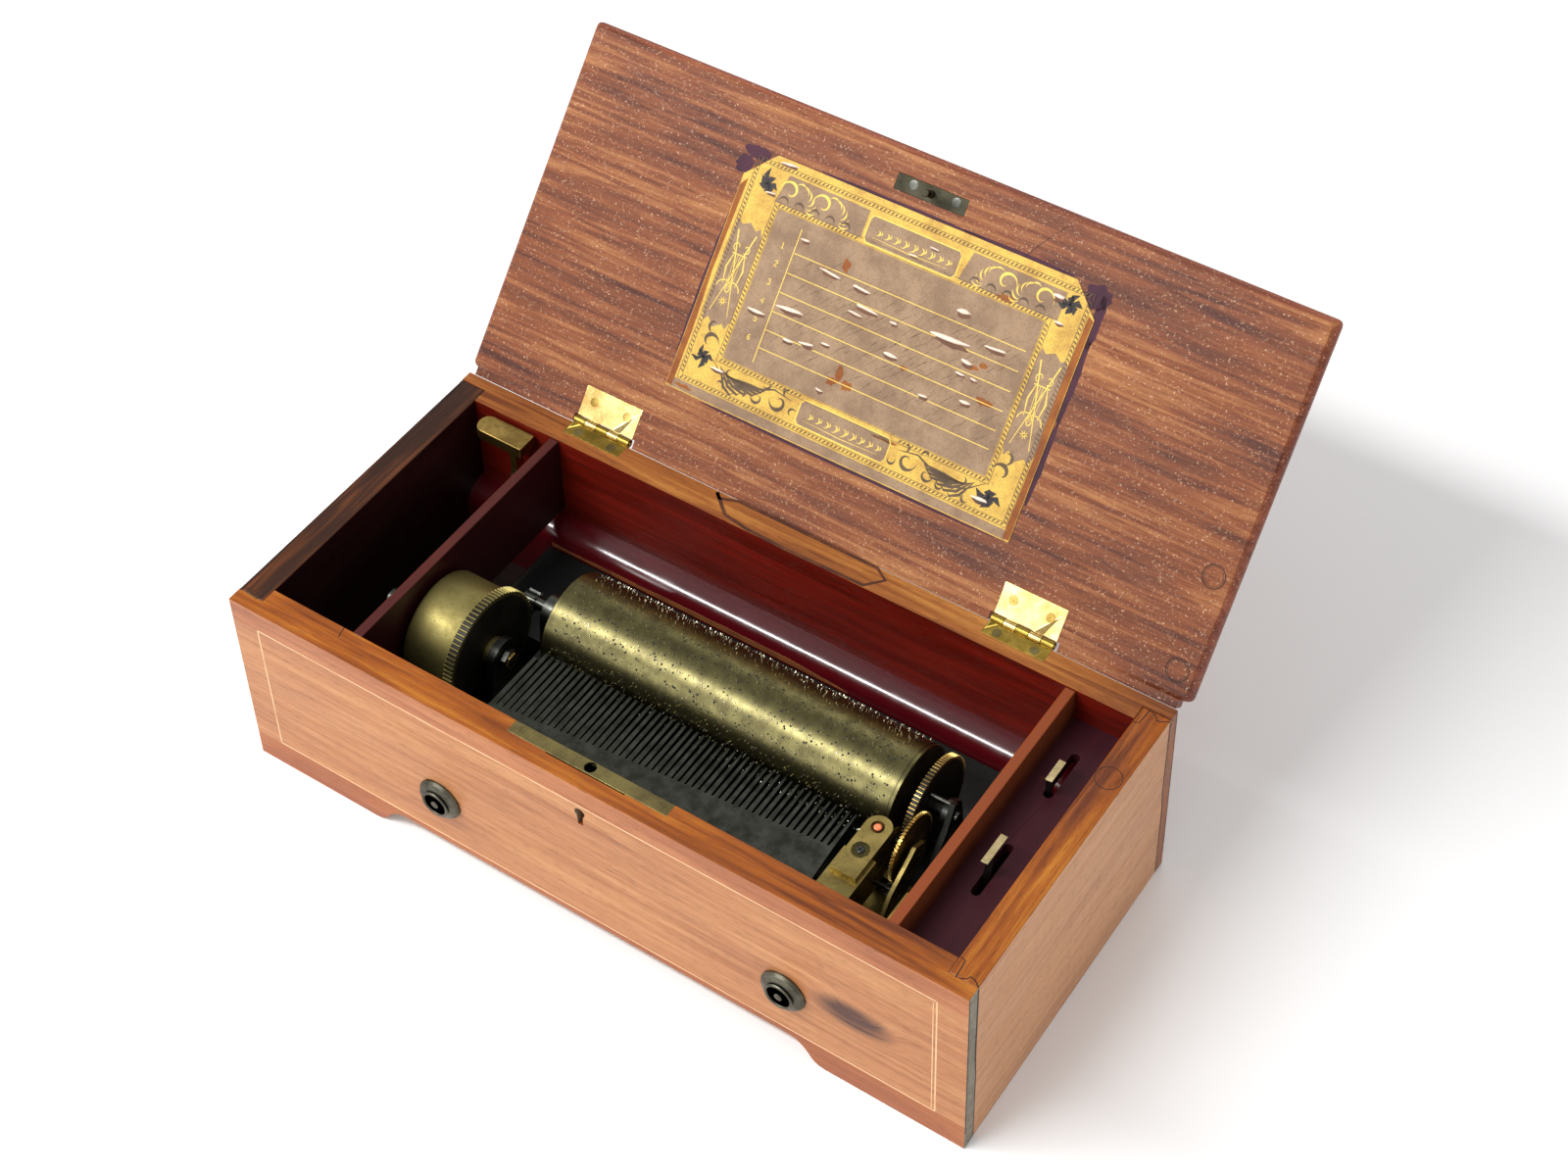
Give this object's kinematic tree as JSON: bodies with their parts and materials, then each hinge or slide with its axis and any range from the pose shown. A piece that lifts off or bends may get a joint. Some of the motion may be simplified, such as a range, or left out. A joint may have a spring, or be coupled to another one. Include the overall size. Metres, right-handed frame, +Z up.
{
  "type": "cylinder music box",
  "caption": "Long wooden case with an open hinged lid and tune sheet, holding a pinned cylinder, steel comb, lever-wound spring barrel, governor and two control levers.",
  "frame": {"origin": "centre of the bounding box's footprint on the surface the feet stand on, with the lid open", "axes": "+X along the case to the control levers' end, +Y from the front to the lid's hinges, +Z up"},
  "size_m": [0.3936, 0.3032, 0.2419],
  "materials": {
    "mahogany": "worn shellac over mahogany",
    "stained_wood": "dark red stain, glossy",
    "brass": "aged, lightly tarnished",
    "steel": "dark tempered steel",
    "black_iron": "old dark paint",
    "bronze": "dull, almost grey",
    "card": "printed card, stained",
    "ruby": "polished"
  },
  "bodies": {
    "case": {"case_front": "mahogany", "case_rear": "mahogany", "case_left": "mahogany", "case_right": "mahogany", "case_bottom": "mahogany", "left_partition": "stained_wood", "right_partition": "stained_wood", "control_board": "stained_wood", "rear_rail": "stained_wood", "lock_plate": "brass", "lock_case": "brass", "front_bolt_left": "bronze", "rear_bolt_left": "bronze", "front_bolt_right": "bronze", "rear_bolt_right": "bronze", "hinge_left_case_leaf": "brass", "hinge_right_case_leaf": "brass", "hinge_left_pin": "steel", "hinge_right_pin": "steel", "bedplate": "black_iron", "barrel_cock_right": "steel", "barrel_cock_left": "steel", "cylinder_bracket_left": "steel", "cylinder_bracket_right": "steel", "comb": "steel", "comb_base": "black_iron", "governor_frame": "brass", "governor_side_cock": "brass", "governor_top_cock": "brass", "governor_ruby": "ruby", "rock_shaft_bearing": "steel", "control_plate": "black_iron"},
    "lid": {"lid": "mahogany", "tune_sheet": "card", "lid_catch": "brass", "hinge_left_lid_leaf": "brass", "hinge_right_lid_leaf": "brass"},
    "lock_bolt": {"lock_bolt": "steel"},
    "winding_lever": {"winding_lever": "brass"},
    "winding_arbor": {"barrel_arbor": "steel", "ratchet_wheel": "steel"},
    "holding_click": {"holding_click": "steel"},
    "spring_barrel": {"spring_barrel": "brass", "barrel_cap": "brass", "mainspring": "steel"},
    "cylinder_arbor": {"cylinder_arbor": "steel", "cylinder_wheel": "brass"},
    "cylinder": {"cylinder_tube": "brass", "cylinder_cap_left": "brass", "cylinder_cap_right": "brass"},
    "governor_first": {"governor_first_arbor": "steel", "governor_first_wheel": "brass"},
    "governor_second": {"governor_second_arbor": "steel", "worm_wheel": "brass"},
    "endless_screw": {"endless_screw": "steel", "fan": "brass"},
    "start_lever": {"start_lever": "steel", "stop_detent": "steel"},
    "change_lever": {"change_lever": "steel"}
  },
  "joints": [
    {"name": "lid_hinge", "type": "hinge", "parent": "case", "child": "lid", "pos_m": [0, 0.02781, 0.10815], "axis": [1, 0, 0], "range_deg": [0, 131]},
    {"name": "lock_bolt_slide", "type": "slide", "parent": "case", "child": "lock_bolt", "axis": [1, 0, 0], "range_m": [-0.004, 0]},
    {"name": "winding_lever_swing", "type": "hinge", "parent": "case", "child": "winding_lever", "pos_m": [-0.149, -0.08549, 0.073], "axis": [-1, 0, 0], "range_deg": [-90, 0]},
    {"name": "winding_arbor_turn", "type": "hinge", "parent": "case", "child": "winding_arbor", "pos_m": [-0.149, -0.08549, 0.073], "axis": [1, 0, 0], "continuous": true},
    {"name": "holding_click_lift", "type": "hinge", "parent": "case", "child": "holding_click", "pos_m": [-0.144, -0.06449, 0.06], "axis": [1, 0, 0], "range_deg": [0, 12], "stiffness_Nm_per_rad": 0.02, "springref_deg": -5.73},
    {"name": "cylinder_turn", "type": "hinge", "parent": "case", "child": "cylinder_arbor", "pos_m": [0.017, -0.05219, 0.074], "axis": [1, 0, 0], "continuous": true},
    {"name": "spring_barrel_turn", "type": "hinge", "parent": "case", "child": "spring_barrel", "pos_m": [-0.114, -0.08549, 0.073], "axis": [1, 0, 0], "continuous": true},
    {"name": "cylinder_shift", "type": "slide", "parent": "cylinder_arbor", "child": "cylinder", "axis": [1, 0, 0], "range_m": [0, 0.0024], "stiffness_N_per_m": 2000, "springref_m": -0.002},
    {"name": "governor_first_turn", "type": "hinge", "parent": "case", "child": "governor_first", "pos_m": [0.122, -0.07889, 0.078], "axis": [1, 0, 0], "continuous": true},
    {"name": "governor_second_turn", "type": "hinge", "parent": "case", "child": "governor_second", "pos_m": [0.116, -0.09529, 0.06782], "axis": [1, 0, 0], "continuous": true},
    {"name": "endless_screw_turn", "type": "hinge", "parent": "case", "child": "endless_screw", "pos_m": [0.112, -0.08599, 0.07], "axis": [0, 0, 1], "continuous": true},
    {"name": "start_lever_rock", "type": "hinge", "parent": "case", "child": "start_lever", "pos_m": [0.15, -0.08049, 0.06], "axis": [1, 0, 0], "range_deg": [0, 10]},
    {"name": "change_lever_rock", "type": "hinge", "parent": "case", "child": "change_lever", "pos_m": [0.163, -0.02649, 0.056], "axis": [1, 0, 0], "range_deg": [-18, 0]}
  ],
  "couplings": [
    {"joint": "spring_barrel_turn", "follows": "cylinder_turn", "ratio": -0.15},
    {"joint": "governor_first_turn", "follows": "cylinder_turn", "ratio": -8},
    {"joint": "governor_second_turn", "follows": "cylinder_turn", "ratio": 48},
    {"joint": "endless_screw_turn", "follows": "cylinder_turn", "ratio": -576}
  ]
}
